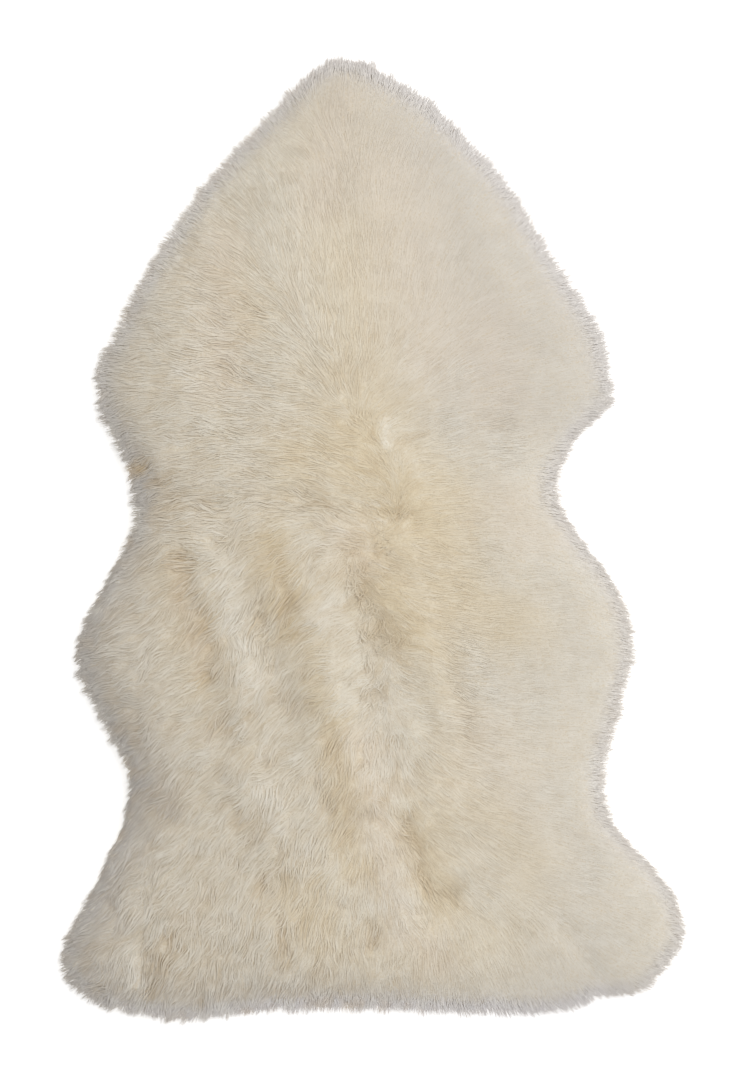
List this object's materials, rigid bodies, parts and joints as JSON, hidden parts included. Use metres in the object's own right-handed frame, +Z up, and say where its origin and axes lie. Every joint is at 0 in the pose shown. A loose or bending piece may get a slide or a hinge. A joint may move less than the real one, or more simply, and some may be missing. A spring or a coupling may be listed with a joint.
{
  "type": "sheepskin rug",
  "caption": "Whole sheepskin rug lying flat, wool side up: one pelt with a flat skin underside, deep cream wool and drooping wool locks round its rim.",
  "frame": {"origin": "on the floor, at the middle of the rug's length and width", "axes": "+Y runs along the spine to the neck, +Z is up through the wool, +X is to the right as seen from above with the neck up"},
  "size_m": [0.6502, 1.0004, 0.0552],
  "materials": {
    "wool": "washed and combed cream sheep's wool, matt with a soft sheen"
  },
  "bodies": {
    "root": {"pelt": "wool"}
  },
  "joints": []
}
